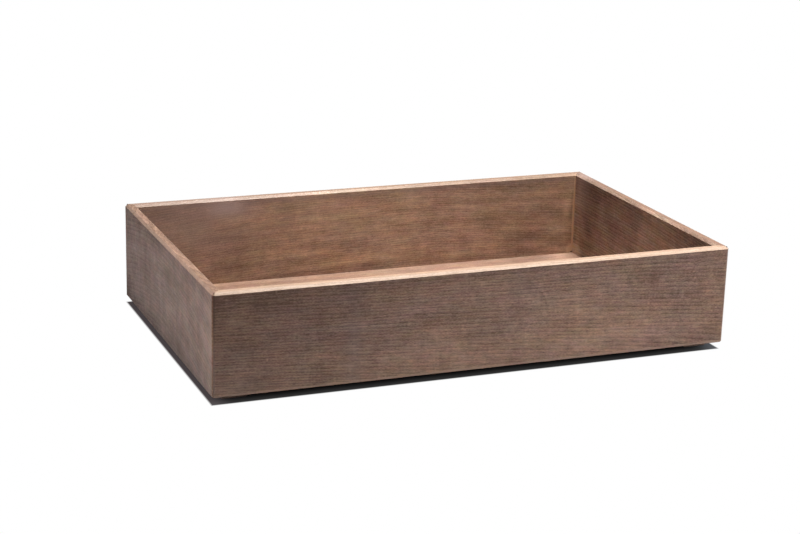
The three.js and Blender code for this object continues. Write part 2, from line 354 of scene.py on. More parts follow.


# Wood
# Each board lies along X in its own frame, with Z across its face and its top at CRATE_HIGH. The plank
# start says where along the tree it was cut, and the spacing is the distance between its growth rings. The
# lean, fan and arch say how its grain lines run: how far they climb along the board, how much more they
# climb lower down, and how they bend round a middle. The rings, streaks, bands, clouds and hues say how
# much each shows, and the tints are those of its outside, the side that faces into the crate, and its top.
# The tones are shares between the stain and the pale or the dark grain: what the whole board has, what its
# far end along X has more than its middle, which is partly its own tone and partly painted light, what both
# ends have more, what its foot has more, which is painted light and shade, and what its top has instead of
# these, which is partly painted highlight and shade. The rim figure says how strong the grain lines are on
# its top, the arris wear how far its sanded edges have worn pale, which also paints the highlight that they
# catch, and the gloss how much of the varnish's shine it has.
LENGTHWISE = (0, 0, 0)
CROSSWISE = (0, 0, -math.pi / 2)
FLAT = (-math.pi / 2, 0, 0)
BOARDS = {
    "front_wall": {
        "turn": LENGTHWISE, "plank_start": 0.4, "spacing": 0.0034,
        "outer_tint": (0.995, 0.955, 0.975), "inner_tint": (0.975, 1, 0.95),
        "lean": -0.015, "fan": -0.85, "arch": 0, "arch_middle": 0,
        "rings": 0.95, "streaks": 1.6, "bands": 0.85, "clouds": 1.1, "hues": 1,
        "tone": -0.03, "end_tone_and_light": 0.18, "ends_tone": -0.28, "foot_light_and_shade": 0.42,
        "rim_tone_and_highlight": 0.42, "rim_figure": 0.5, "rim_tint": (1.005, 1.01, 0.935),
        "arris_wear_and_highlight": 0.95, "gloss": 1,
    },
    "back_wall": {
        "turn": LENGTHWISE, "plank_start": 3.1, "spacing": 0.0026,
        "outer_tint": (1.03, 0.97, 0.99), "inner_tint": (0.978, 0.993, 0.945),
        "lean": 0, "fan": 0, "arch": 0.2, "arch_middle": 0.01,
        "rings": 0.6, "streaks": 1.2, "bands": 1.9, "clouds": 1, "hues": 1,
        "tone": 0.12, "end_tone_and_light": 0.08, "ends_tone": -0.2, "foot_light_and_shade": 0,
        "rim_tone_and_highlight": -0.27, "rim_figure": 0.3, "rim_tint": (1.02, 1, 0.87),
        "arris_wear_and_highlight": 0.6, "gloss": 1,
    },
    "left_wall": {
        "turn": CROSSWISE, "plank_start": 6.3, "spacing": 0.0045,
        "outer_tint": (1.13, 0.985, 0.99), "inner_tint": (0.9, 0.98, 1.02),
        "lean": 0, "fan": 0, "arch": 0.85, "arch_middle": 0.01,
        "rings": 0.45, "streaks": 0.8, "bands": 0.6, "clouds": 1.4, "hues": 1.3,
        "tone": 0.03, "end_tone_and_light": -0.72, "ends_tone": 0.1, "foot_light_and_shade": -0.1,
        "rim_tone_and_highlight": -0.3, "rim_figure": 2, "rim_tint": (1.03, 0.99, 0.92),
        "arris_wear_and_highlight": 0.55, "gloss": 0.3,
    },
    "right_wall": {
        "turn": CROSSWISE, "plank_start": 8.7, "spacing": 0.0034,
        "outer_tint": (1.03, 0.97, 0.99), "inner_tint": (0.9, 0.98, 1.06),
        "lean": 0.02, "fan": 0, "arch": 0.2, "arch_middle": 0.05,
        "rings": 1.3, "streaks": 1.3, "bands": 1.7, "clouds": 1.4, "hues": 2.4,
        "tone": 0, "end_tone_and_light": -0.5, "ends_tone": 0, "foot_light_and_shade": 0.25,
        "rim_tone_and_highlight": -0.58, "rim_figure": 0.3, "rim_tint": (1.05, 0.98, 0.86),
        "arris_wear_and_highlight": 0.6, "gloss": 1,
    },
    "base_panel": {
        "turn": FLAT, "plank_start": 11.9, "spacing": 0.0036,
        "outer_tint": (1, 1, 1), "inner_tint": (1, 1, 1),
        "lean": 0.01, "fan": 0, "arch": 0.1, "arch_middle": 0,
        "rings": 0.8, "streaks": 1, "bands": 0.8, "clouds": 0.6, "hues": 0.8,
        "tone": 0.12, "end_tone_and_light": 0, "ends_tone": 0, "foot_light_and_shade": 0,
        "rim_tone_and_highlight": 0, "rim_figure": 1, "rim_tint": (1, 1, 1),
        "arris_wear_and_highlight": 0.5, "gloss": 1,
    },
}

# Soft marks in the figure of the wood: where each lies along and up its board, how far it reaches along and
# across it, and how much paler or darker the wood is there. One that reaches EVERYWHERE runs right across
# the board. Some are hazy, which paints the sheen and reflections of the varnish as well as its cloudy
# spots, and some lie only on the side of the board that faces into the crate. Some marks are painted
# highlight and shade, as said beside them.
EVERYWHERE = 10
FIGURE_MARKS = {
    "front_wall": (
        {"at": (-0.025, 0.052), "size": (0.03, 0.02), "tone": -0.2},
        {"at": (0.181, 0.072), "size": (0.006, 0.035), "tone": -0.18},
        {"at": (-0.13, 0.045), "size": (0.009, 0.05), "tone": -0.14, "haze_and_sheen": 0.2},
        {"at": (0.038, 0.085), "size": (0.016, 0.012), "tone": -0.14, "haze_and_sheen": 0.15},
        {"at": (-0.225, 0.1), "size": (0.05, 0.02), "tone": -0.12},
        # Painted shade along the top of the front, at its left half
        {"at": (-0.1, 0.103), "size": (0.17, 0.013), "tone": -0.4},
        {"at": (0.02, 0.034), "size": (0.045, 0.012), "tone": -0.16},
        {"at": (-0.18, 0.058), "size": (0.04, 0.016), "tone": -0.2},
        {"at": (0.24, 0.1), "size": (0.03, 0.01), "tone": -0.2},
        {"at": (0.23, 0.012), "size": (0.04, 0.01), "tone": -0.15},
        {"at": (0.11, 0.02), "size": (0.05, 0.018), "tone": 0.12},
        {"at": (0.15, 0.06), "size": (0.025, 0.02), "tone": 0.24},
        {"at": (-0.25, 0.032), "size": (0.02, 0.015), "tone": 0.1},
        {"at": (-0.2135, 0.038), "size": (0.0008, 0.0012), "tone": 0.8},
        # Painted shade and light on the near corner's chamfer: dark above, paler and hazy below
        {"at": (-0.264, 0.09), "size": (0.0014, 0.035), "tone": -0.6},
        {"at": (-0.2642, 0.01), "size": (0.0012, 0.04), "tone": 0.3, "haze_and_sheen": 0.5},
        {"at": (-0.23, 0.012), "size": (0.035, 0.03), "tone": -0.05, "haze_and_sheen": 0.14},
        # Painted light along the bottom chamfer, where light from the floor catches it
        {"at": (0, 0.0073), "size": (EVERYWHERE, 0.0011), "tone": 1.2, "haze_and_sheen": 0.3},
    ),
    "back_wall": (
        # Painted reflection: a hazy pale patch at the upper left
        {"at": (-0.21, 0.08), "size": (0.08, 0.04), "tone": 0, "haze_and_sheen": 0.35},
        {"at": (-0.158, 0.096), "size": (0.022, 0.009), "tone": 0.6, "haze_and_sheen": 0.95},
        {"at": (-0.134, 0.098), "size": (0.007, 0.006), "tone": -0.45},
        {"at": (-0.2, 0.055), "size": (0.04, 0.014), "tone": 0.25},
        {"at": (-0.15, 0.02), "size": (0.05, 0.01), "tone": -0.25},
        {"at": (-0.06, 0.085), "size": (0.05, 0.03), "tone": 0.2, "haze_and_sheen": 0.1},
        {"at": (0.1, 0.015), "size": (0.04, 0.014), "tone": 0.2},
        {"at": (0.135, 0.09), "size": (0.014, 0.004), "tone": 0.25},
        {"at": (0.18, 0.096), "size": (0.05, 0.015), "tone": -0.5},
        {"at": (0.08, 0.101), "size": (0.05, 0.006), "tone": -0.2},
        {"at": (0.175, 0.036), "size": (0.022, 0.012), "tone": -0.3},
        {"at": (0.225, 0.052), "size": (0.015, 0.012), "tone": 0.3},
        # Painted shade under the rim and on its inner chamfer
        {"at": (0, 0.1), "size": (EVERYWHERE, 0.0022), "tone": -0.28, "haze_and_sheen": 0.2},
        {"at": (0, 0.1048), "size": (EVERYWHERE, 0.0014), "tone": -0.25, "inner": True},
        # Painted highlight down the inner corner, brightest low down
        {"at": (0.254, 0.055), "size": (0.0012, 0.035), "tone": 4, "inner": True},
        # Painted reflection of the right wall, near the right end
        {"at": (0.246, 0.06), "size": (0.006, 0.04), "tone": 0.3},
        {"at": (0.252, 0.017), "size": (0.004, 0.006), "tone": 2, "inner": True},
        {"at": (0.254, 0.0139), "size": (0.0018, 0.0007), "tone": -6, "inner": True},
    ),
    "left_wall": (
        {"at": (-0.05, 0.06), "size": (0.12, 0.035), "tone": 0.05},
        {"at": (-0.14, 0.07), "size": (0.02, 0.04), "tone": 0.2},
        {"at": (0.1, 0.06), "size": (0.03, 0.02), "tone": 0.12},
        {"at": (0.075, 0.012), "size": (0.03, 0.01), "tone": -0.05},
        {"at": (-0.045, 0.014), "size": (0.03, 0.011), "tone": -0.5},
        # Painted shade on the inner chamfer of the top
        {"at": (0, 0.1048), "size": (EVERYWHERE, 0.0014), "tone": -1.3, "inner": True},
        {"at": (0, 0.008), "size": (EVERYWHERE, 0.007), "tone": -0.3},
        {"at": (0, 0.103), "size": (EVERYWHERE, 0.009), "tone": -0.25},
        {"at": (0.105, 0.1), "size": (0.03, 0.01), "tone": -0.35},
        # Painted shade and light on the near corner's chamfer: dark above, paler and hazy below
        {"at": (-0.1615, 0.09), "size": (0.0014, 0.035), "tone": -0.6},
        {"at": (-0.1617, 0.01), "size": (0.0012, 0.04), "tone": 0.3, "haze_and_sheen": 0.5},
        {"at": (0.153, 0.012), "size": (0.012, 0.012), "tone": -0.7},
    ),
    "right_wall": (
        # Painted highlight down the inner corner, brightest low down
        {"at": (0.1522, 0.055), "size": (0.0014, 0.035), "tone": 3, "inner": True},
        {"at": (0.15, 0.016), "size": (0.004, 0.006), "tone": 2.2, "inner": True},
        {"at": (0.142, 0.06), "size": (0.009, EVERYWHERE), "tone": 0.3},
        {"at": (0.14, 0.095), "size": (0.02, 0.03), "tone": 0, "haze_and_sheen": 0.45},
        {"at": (0.117, 0.06), "size": (0.017, EVERYWHERE), "tone": -0.4},
        # Painted shade under the rim
        {"at": (0.05, 0.098), "size": (0.07, 0.016), "tone": -0.55},
        {"at": (-0.01, 0.073), "size": (0.03, 0.012), "tone": 0.65},
        {"at": (0.08, 0.035), "size": (0.03, 0.015), "tone": -0.15},
        {"at": (0.143, 0.018), "size": (0.015, 0.01), "tone": 0.9},
        # Painted shade under the rim
        {"at": (-0.12, 0.1), "size": (0.045, 0.02), "tone": -1.1},
        {"at": (0.08, 0.06), "size": (0.04, 0.02), "tone": 0.12},
    ),
    "base_panel": (
        {"at": (-0.12, -0.148), "size": (0.07, EVERYWHERE), "tone": -0.1},
        {"at": (0.152, -0.148), "size": (0.024, EVERYWHERE), "tone": -0.1},
        {"at": (-0.165, -0.148), "size": (0.035, 0.03), "tone": -0.1},
        {"at": (0.195, -0.148), "size": (0.035, 0.03), "tone": -0.3},
        {"at": (0.24, -0.145), "size": (0.014, 0.014), "tone": 0.55},
    ),
}

# Lines that bend down across the grain, beside one another
BENT_LINES = {
    "front_wall": (
        {"at": (0.068, 0.055), "bend": 19, "width": 0.0016, "reach": 0.022, "tone": -0.2},
        {"at": (0.072, 0.055), "bend": 19, "width": 0.0014, "reach": 0.022, "tone": 0.24},
    ),
}

# How much the grain lines climb as they cross the thickness of a board
RING_DIP = 0.55

# How the grain lines wander off their course, and how far
WANDER_CELL = (0.16, 0.03, 0.03)
WANDER_REACH = 0.006

# The growth rings: where they fade, how uneven their spacing is, and how dark and sharp they are
RING_FADE_CELL = (0.035, 0.02, 0.014)
RING_FADE_CONTRAST = 2
RING_UNEVEN_CELL = (0.2, 0.03, 0.012)
RING_UNEVENNESS = 1.7
RING_MIDDLE_SHARE = 0.4
RING_TONE = 0.55
RING_SHARPNESS = 1.6

# Streaks and wider bands along the grain: how long, deep and thick each kind is, and how much it shows
STREAKS = (
    {"cell": (0.014, 0.005, 0.0028), "share": 0.6},
    {"cell": (0.006, 0.003, 0.0012), "share": 0.8},
    {"cell": (0.0022, 0.0008, 0.0005), "share": 1.4},
)
BANDS = (
    {"cell": (0.2, 0.03, 0.014), "share": 0.7},
    {"cell": (0.07, 0.02, 0.005), "share": 0.5},
)

# Clouds over the whole board: of tone, from olive to rosy, and from slate to honey
CLOUDS = (
    {"cell": (0.0028, 0.004, 0.006), "share": 0.3},
    {"cell": (0.013, 0.02, 0.03), "share": 0.6},
    {"cell": (0.05, 0.03, 0.022), "share": 0.9},
)
RED_CLOUDS = (
    {"cell": (0.03, 0.02, 0.01), "share": 1.8},
    {"cell": (0.008, 0.003, 0.0016), "share": 1.4},
)
YELLOW_CLOUDS = (
    {"cell": (0.05, 0.02, 0.012), "share": 1.8},
    {"cell": (0.012, 0.004, 0.003), "share": 1.6},
)

# The open pores: the noise from which they start, how much more makes them whole, and how dark they are
PORE_CELL = (0.0045, 0.0003, 0.0003)
PORE_START = 0.12
PORE_REACH = 0.1
PORE_TONE = 0.35

# How much smoother the varnish is on the pale grain than on the stained wood
ROUGHNESS_TONE = 0.12

# How unevenly the edges are sanded
WEAR_CELL = (0.03, 0.004, 0.004)
WEAR_UNEVENNESS = 0.9

# How much less the tops of the walls show of the bands and clouds
RIM_CALM = 0.65


def layered(nodes, spot, layers):
    """The sum of several kinds of noise."""
    return sum(nodes.clouds(spot, layer["cell"]) * layer["share"] for layer in layers)


def soft_spot(*distances):
    """One where all the distances are zero, fading out as any grows to one and beyond."""
    return (sum(distance * distance for distance in distances) * -1).math("EXPONENT")


class BoardPlace:
    """Where a point of the wood lies in its board."""

    def __init__(self, nodes, node):
        self.board = BOARDS[node]
        self.marks = FIGURE_MARKS[node]
        self.lines = BENT_LINES.get(node, ())
        self.along, self.depth, self.across = nodes.object_place(self.board["turn"])
        self.plank = self.along + self.board["plank_start"]
        self.in_board = (self.plank, self.depth, self.across)
        self.ring = self.grain_lines(nodes)
        self.in_grain = (self.plank, self.depth, self.ring)
        self.inner = self.inner_side()
        self.rim = nodes.face_layer(RIM_LAYER)
        self.calm = 1 - self.rim * RIM_CALM

    def grain_lines(self, nodes):
        """How far across the growth rings the point lies."""
        wander = nodes.clouds(self.in_board, WANDER_CELL) * WANDER_REACH
        from_top = self.across * -1 + CRATE_HIGH.z
        from_middle = self.along - self.board["arch_middle"]
        slope = from_top * self.board["fan"] + self.board["lean"]
        bent = from_middle * from_middle * self.board["arch"]
        return self.across - self.along * slope + bent + self.depth * RING_DIP + wander

    def inner_side(self):
        """One on the side of a wall that faces into the crate, and zero on its outside."""
        outside = HALF_LENGTH if self.board["turn"] == CROSSWISE else HALF_WIDTH
        return self.depth.math("ABSOLUTE").math("LESS_THAN", outside - WALL_THICKNESS / 2)

    def soft_mark(self, mark):
        """A round spot that fades out to its sides."""
        along, height = mark["at"]
        length, width = mark["size"]
        return soft_spot((self.along - along) / length, (self.across - height) / width)

    def bent_line(self, line):
        """A line that is upright at one height and leans more the further it is from there."""
        along, height = line["at"]
        from_height = self.across - height
        offset = self.along - along + from_height * from_height * line["bend"]
        return soft_spot(offset / line["width"], (from_height - line["reach"]) / line["reach"])

    def zones(self):
        """How much paler or darker each part of the board is than its figure alone makes it, painted light
        and shade included.
        """
        board = self.board
        end_share = self.along / HALF_LENGTH
        zones = end_share * board["end_tone_and_light"] + end_share * end_share * board["ends_tone"] + board["tone"]
        zones = zones + (CRATE_HIGH.z - self.across) * (board["foot_light_and_shade"] / CRATE_HIGH.z)
        for mark in self.marks:
            spot = self.soft_mark(mark) * mark["tone"]
            zones = zones + (spot * self.inner if "inner" in mark else spot)
        for line in self.lines:
            zones = zones + self.bent_line(line) * line["tone"]
        return zones


def ring_tone(nodes, place):
    """The growth rings: each starts with a dark line of open grain that fades into paler hard grain."""
    uneven = nodes.clouds(place.in_grain, RING_UNEVEN_CELL) * RING_UNEVENNESS
    turn = (place.ring / place.board["spacing"] + uneven).math("FRACT")
    fade = (nodes.clouds(place.in_grain, RING_FADE_CELL) + MIDDLE_SHARE) * RING_FADE_CONTRAST
    dark = (1 - turn).math("POWER", RING_SHARPNESS)
    return (RING_MIDDLE_SHARE - dark) * fade * RING_TONE, dark


def grain_figure(nodes, place):
    """The growth rings, the pores in their open grain and the streaks along them."""
    rings, open_grain = ring_tone(nodes, place)
    pores = (nodes.clouds(place.in_grain, PORE_CELL, detail=0) - PORE_START) / PORE_REACH
    pores = pores.clamped() * open_grain
    streaks = layered(nodes, place.in_grain, STREAKS) * place.board["streaks"] - pores * PORE_TONE
    return rings * place.board["rings"] + streaks


def wood_tone(nodes, place, figure):
    """How near the wood is to the pale grain or, below zero, to the dark grain."""
    board, rim = place.board, place.rim
    bands = layered(nodes, place.in_grain, BANDS) * board["bands"]
    clouds = layered(nodes, place.in_board, CLOUDS) * board["clouds"]
    rim_figure = figure * (rim * (board["rim_figure"] - 1) + 1)
    # The top's tone also paints the highlight and shade that its top catches
    return rim_figure + (bands + clouds) * place.calm + place.zones() * (1 - rim) + rim * board["rim_tone_and_highlight"]


def hue_mix(nodes, place, noise, first, second):
    """Clouds of two tints."""
    share = (noise * place.calm * place.board["hues"] + MIDDLE_SHARE).clamped()
    return nodes.mix(share, rgba(first), rgba(second))


def wood_tint(nodes, place, look):
    """The tint of each side of the board, and the clouds of other hues on it."""
    reds = layered(nodes, place.in_grain, RED_CLOUDS)
    yellows = layered(nodes, (place.plank, place.ring, place.depth), YELLOW_CLOUDS)
    hues = nodes.tinted(hue_mix(nodes, place, reds, look.olive, look.rosy),
                        hue_mix(nodes, place, yellows, look.slate, look.honey))
    side = nodes.mix(place.inner, rgba(place.board["outer_tint"]), rgba(place.board["inner_tint"]))
    return nodes.tinted(hues, nodes.mix(place.rim, side, rgba(place.board["rim_tint"])))


def worn_and_highlit_arrises(nodes, place, figure, look):
    """How far the sanded edges are worn and painted with highlight, and the colour of this wear and
    highlight.
    """
    patchy = nodes.clouds(place.in_board, WEAR_CELL) * WEAR_UNEVENNESS + 1
    wear_and_highlight = (nodes.face_layer(ARRIS_LAYER) * place.board["arris_wear_and_highlight"] * patchy).clamped()
    worn_and_highlight = nodes.mix((figure + MIDDLE_SHARE).clamped(), rgba(look.worn_dark_and_highlight), rgba(look.worn_pale_and_highlight))
    return wear_and_highlight, nodes.tinted(worn_and_highlight, rgba(place.board["rim_tint"]))


def stained_ash(node, look):
    """Brown-stained ash with open grain, in which the edges are sanded paler, with highlight, shade and
    sheen painted on it in places.
    """
    material = bpy.data.materials.new(f"{node}_ash")
    nodes = Nodes(material)
    place = BoardPlace(nodes, node)
    figure = grain_figure(nodes, place)
    tone = wood_tone(nodes, place, figure)
    paler = nodes.mix(tone.clamped(), rgba(look.stain), rgba(look.pale_grain))
    shade = nodes.mix((tone * -1).clamped(), paler, rgba(look.dark_grain))
    color = nodes.tinted(shade, wood_tint(nodes, place, look))
    # Hazy marks paint the sheen and reflections of the varnish, besides its cloudy spots
    for mark in place.marks:
        if "haze_and_sheen" in mark:
            color = nodes.mix(place.soft_mark(mark) * mark["haze_and_sheen"], color, rgba(look.haze_and_sheen))
    # The sanded edges, which also carry a painted highlight
    wear_and_highlight, worn_and_highlight = worn_and_highlit_arrises(nodes, place, figure, look)
    color = nodes.mix(wear_and_highlight, color, worn_and_highlight)
    roughness = look.roughness - tone * ROUGHNESS_TONE
    gloss = look.gloss * place.board["gloss"]
    inputs = {"Base Color": color, "Roughness": roughness, "Specular IOR Level": gloss}
    nodes.surface(inputs, figure, look.relief)
    return material


# Finishes of the small pieces: the sizes of their grain and spots, and how these show
RUBBER_GRAIN_CELL = (0.0006, 0.0006, 0.0006)
RUBBER_DUST_CELL = (0.006, 0.006, 0.004)
RUBBER_RELIEF = 0.00005
RUBBER_ROUGHNESS = 0.75
RUBBER_UNEVENNESS = 0.2
DUST_SHARE = 0.45
STEEL_CLOUD_CELL = (0.0025, 0.0025, 0.0025)
STEEL_SCRATCH_CELL = (0.0008, 0.00008, 0.0008)
STEEL_ROUGHNESS = 0.34
STEEL_RELIEF = 0.00001
DULL_SHARE = 0.4
DULL_ROUGHNESS = 0.15
SCRATCH_ROUGHNESS = 0.2
TONGUE_CELL = (0.0006, 0.0006, 0.03)
TONGUE_ROUGHNESS = 0.7
TONGUE_UNEVENNESS = 0.2
TONGUE_RELIEF = 0.00004
CLOUD_CONTRAST = 2.5


def moulded_rubber(look):
    """Matt rubber with a fine grain and a little dust."""
    material = bpy.data.materials.new("moulded_rubber")
    nodes = Nodes(material)
    place = nodes.object_place()
    grain = nodes.clouds(place, RUBBER_GRAIN_CELL)
    dust = (nodes.clouds(place, RUBBER_DUST_CELL) + grain) * CLOUD_CONTRAST + DUST_SHARE
    color = nodes.mix(dust.clamped(), rgba(look.rubber), rgba(look.rubber_dust))
    roughness = RUBBER_ROUGHNESS + grain * RUBBER_UNEVENNESS
    nodes.surface({"Base Color": color, "Roughness": roughness}, grain, RUBBER_RELIEF)
    return material


def plated_steel(look):
    """Zinc-plated steel, dulled in spots and lightly scratched."""
    material = bpy.data.materials.new("plated_steel")
    nodes = Nodes(material)
    place = nodes.object_place()
    scratches = nodes.clouds(place, STEEL_SCRATCH_CELL)
    dull = nodes.clouds(place, STEEL_CLOUD_CELL) * CLOUD_CONTRAST + DULL_SHARE
    color = nodes.mix(dull.clamped(), rgba(look.steel), rgba(look.dull_steel))
    roughness = STEEL_ROUGHNESS + dull * DULL_ROUGHNESS + scratches * SCRATCH_ROUGHNESS
    inputs = {"Base Color": color, "Roughness": roughness, "Metallic": 1}
    nodes.surface(inputs, scratches, STEEL_RELIEF)
    return material


def bare_hardwood(look):
    """Sawn hardwood, with its grain upright."""
    material = bpy.data.materials.new("bare_hardwood")
    nodes = Nodes(material)
    fibres = nodes.clouds(nodes.object_place(), TONGUE_CELL)
    share = (fibres * CLOUD_CONTRAST + MIDDLE_SHARE).clamped()
    color = nodes.mix(share, rgba(look.bare_wood), rgba(look.bare_grain))
    roughness = TONGUE_ROUGHNESS + fibres * TONGUE_UNEVENNESS
    nodes.surface({"Base Color": color, "Roughness": roughness}, fibres, TONGUE_RELIEF)
    return material


# Meshes
# How much wear and painted highlight the arrises inside the crate take, beside those round the outside
INNER_WEAR_AND_HIGHLIGHT = 0.4


def bevel(bm, edges, size, segments, clamp=False):
    bmesh.ops.bevel(bm, geom=edges, offset=size, offset_type="OFFSET", segments=segments, profile=0.5,
                    affect="EDGES", material=-1, clamp_overlap=clamp)


def box_mesh(low, high):
    bm = bmesh.new()
    middle = (low + high) / 2
    size = high - low
    place = Matrix.Translation(middle) @ Matrix.Diagonal((*size, 1))
    bmesh.ops.create_cube(bm, size=1, matrix=place)
    return bm


def is_upright(face):
    return abs(face.normal.z) < 1 - SQUARE_SHARE


def looks_outward(face):
    return face.normal.dot(face.calc_center_median()) > 0


def loop_at(bm, height, outward):
    """The edges at one height where a level face meets an upright one of the outside or the inside."""
    def wanted(edge):
        if any(abs(vert.co.z - height) > TOUCH for vert in edge.verts):
            return False
        upright = [face for face in edge.link_faces if is_upright(face)]
        return len(upright) == 1 and looks_outward(upright[0]) == outward

    return [edge for edge in bm.edges if wanted(edge)]


def corner_edges(bm, half_length, half_width):
    """The upright edges at the four corners of a box."""
    def at_corner(vert):
        return abs(abs(vert.co.x) - half_length) < TOUCH and abs(abs(vert.co.y) - half_width) < TOUCH

    def wanted(edge):
        first, second = edge.verts
        return at_corner(first) and at_corner(second) and (first.co - second.co).xy.length < TOUCH

    return [edge for edge in bm.edges if wanted(edge)]


def soften(bm, size, segments):
    """Rounds every sharp edge a little, and keeps the piece inside the box that it had."""
    low, high = [Vector(map(pick, zip(*(vert.co for vert in bm.verts)))) for pick in (min, max)]
    sharp = [edge for edge in bm.edges if edge.is_manifold and edge.calc_face_angle() > SHARP_ANGLE]
    bevel(bm, sharp, size, segments, clamp=True)
    for vert in bm.verts:
        vert.co = [min(max(part, least), most) for part, least, most in zip(vert.co, low, high)]


def wear_and_highlight_share(face):
    """How worn a face is, with the highlight painted on it: those that slope upwards are, most of all round
    the outside, and no others.
    """
    is_flat = max(abs(part) for part in face.normal) > SQUARE_SHARE
    if is_flat or is_upright(face) or face.normal.z < 0:
        return 0
    return 1 if looks_outward(face) else INNER_WEAR_AND_HIGHLIGHT


def make_piece(bm, name, material):
    """Turns a mesh into a piece of the crate, with its faces marked for the finish."""
    bmesh.ops.recalc_face_normals(bm, faces=bm.faces[:])
    arris = bm.faces.layers.float.new(ARRIS_LAYER)
    rim = bm.faces.layers.float.new(RIM_LAYER)
    for face in bm.faces:
        face[arris] = wear_and_highlight_share(face)
        on_top = face.calc_center_median().z > CRATE_HIGH.z - TOUCH
        face[rim] = float(on_top and face.normal.z > SQUARE_SHARE)
    mesh = bpy.data.meshes.new(name)
    bm.to_mesh(mesh)
    bm.free()
    mesh.materials.append(material)
    piece = bpy.data.objects.new(name, mesh)
    bpy.context.scene.collection.objects.link(piece)
    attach(piece, "root")
    return piece


# Walls
def wall_ring(shape):
    """The four walls as one body, before the mitres are cut."""
    low = Vector((-HALF_LENGTH, -HALF_WIDTH, WALL_LOW.z))
    bm = box_mesh(low, Vector((HALF_LENGTH, HALF_WIDTH, WALL_HIGH.z)))
    top = max(bm.faces, key=lambda face: face.normal.z)
    bottom = min(bm.faces, key=lambda face: face.normal.z)
    rebate_height = BASE_HIGH.z + shape.rebate_fit - WALL_LOW.z
    ledge = WALL_THICKNESS - shape.lip
    bmesh.ops.inset_region(bm, faces=[top], thickness=WALL_THICKNESS, use_even_offset=True)
    bmesh.ops.inset_region(bm, faces=[bottom], thickness=shape.lip, use_even_offset=True)
    bmesh.ops.inset_region(bm, faces=[bottom], thickness=0, depth=-rebate_height, use_even_offset=True)
    bmesh.ops.inset_region(bm, faces=[bottom], thickness=ledge, use_even_offset=True)
    inner_loops = [*top.edges, *bottom.edges]
    bmesh.ops.delete(bm, geom=[top, bottom], context="FACES_ONLY")
    bmesh.ops.bridge_loops(bm, edges=inner_loops)
    bmesh.ops.recalc_face_normals(bm, faces=bm.faces[:])
    bevel(bm, corner_edges(bm, HALF_LENGTH, HALF_WIDTH), shape.corner_chamfer, 1)
    bevel(bm, loop_at(bm, WALL_HIGH.z, True) + loop_at(bm, WALL_HIGH.z, False), shape.rim_chamfer, 1)
    bevel(bm, loop_at(bm, WALL_LOW.z, True), shape.bottom_chamfer, 1)
    return bm


def cut_wall(ring, facing, shape):
    """One wall of the ring, cut off along its two mitres."""
    bm = ring.copy()
    along = Vector((abs(facing.y), abs(facing.x), 0))
    corner = Vector((HALF_LENGTH, HALF_WIDTH, 0))
    for side in (-1, 1):
        outer_corner = (along * side + facing) * corner
        normal = (along * side - facing).normalized()
        whole = [*bm.verts, *bm.edges, *bm.faces]
        point = outer_corner - normal * shape.mitre_seam / 2
        cut = bmesh.ops.bisect_plane(bm, geom=whole, plane_co=point, plane_no=normal, clear_outer=True)
        rims = [item for item in cut["geom_cut"] if isinstance(item, bmesh.types.BMEdge)]
        bmesh.ops.holes_fill(bm, edges=rims, sides=0)
    soften(bm, shape.arris_rounding, shape.arris_steps)
    return bm


class CRATE_OT_build_walls(bpy.types.Operator):
    """Builds the four mitred walls"""

    bl_idname = "crate.build_walls"
    bl_label = "Build Walls"

    def execute(self, context):
        shape = context.scene.crate_shape
        look = context.scene.crate_wood
        ring = wall_ring(shape)
        for node, facing in WALLS.items():
            material = stained_ash(node, look)
            piece = make_piece(cut_wall(ring, facing, shape), f"{node}_board", material)
            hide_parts(node)
        ring.free()
        return {"FINISHED"}


class CRATE_OT_build_base(bpy.types.Operator):
    """Builds the base panel"""

    bl_idname = "crate.build_base"
    bl_label = "Build Base"

    def execute(self, context):
        shape = context.scene.crate_shape
        bm = box_mesh(BASE_LOW, BASE_HIGH)
        soften(bm, shape.arris_rounding, shape.arris_steps)
        material = stained_ash("base_panel", context.scene.crate_wood)
        piece = make_piece(bm, "base_panel_board", material)
        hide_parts("base_panel")
        return {"FINISHED"}


# Feet
def ring_edges(bm, radius, sides, place):
    """The edges of a new circle, in order."""
    ring = bmesh.ops.create_circle(bm, segments=sides, radius=radius, matrix=Matrix.Translation(place))
    return list(dict.fromkeys(edge for vert in ring["verts"] for edge in vert.link_edges))


def foot_mesh(shape, low, high):
    """A rounded block with a hole for its screw and a pocket for the screw's head."""
    bm = box_mesh(low, high)
    middle = (low + high) / 2
    bmesh.ops.translate(bm, verts=bm.verts[:], vec=-middle)
    half = (high - low) / 2
    bevel(bm, corner_edges(bm, half.x, half.y), shape.corner_radius, shape.corner_steps)
    bevel(bm, loop_at(bm, -half.z, True), shape.tread_rounding, shape.tread_steps)
    top = max(bm.faces, key=lambda face: face.normal.z)
    tread = min(bm.faces, key=lambda face: face.normal.z)
    outlines = [list(tread.edges), list(top.edges)]
    bmesh.ops.delete(bm, geom=[top, tread], context="FACES_ONLY")
    pocket_top = -half.z + shape.pocket_depth
    radii_and_heights = (
        (shape.pocket_diameter / 2, -half.z),
        (shape.pocket_diameter / 2, pocket_top),
        (shape.bore_diameter / 2, pocket_top),
        (shape.bore_diameter / 2, half.z),
    )
    rings = [ring_edges(bm, radius, shape.bore_sides, (0, 0, height))
             for radius, height in radii_and_heights]
    loops = [outlines[0], *rings, outlines[1]]
    for first, second in zip(loops, loops[1:]):
        bmesh.ops.bridge_loops(bm, edges=[*first, *second])
    bmesh.ops.translate(bm, verts=bm.verts[:], vec=middle)
    return bm


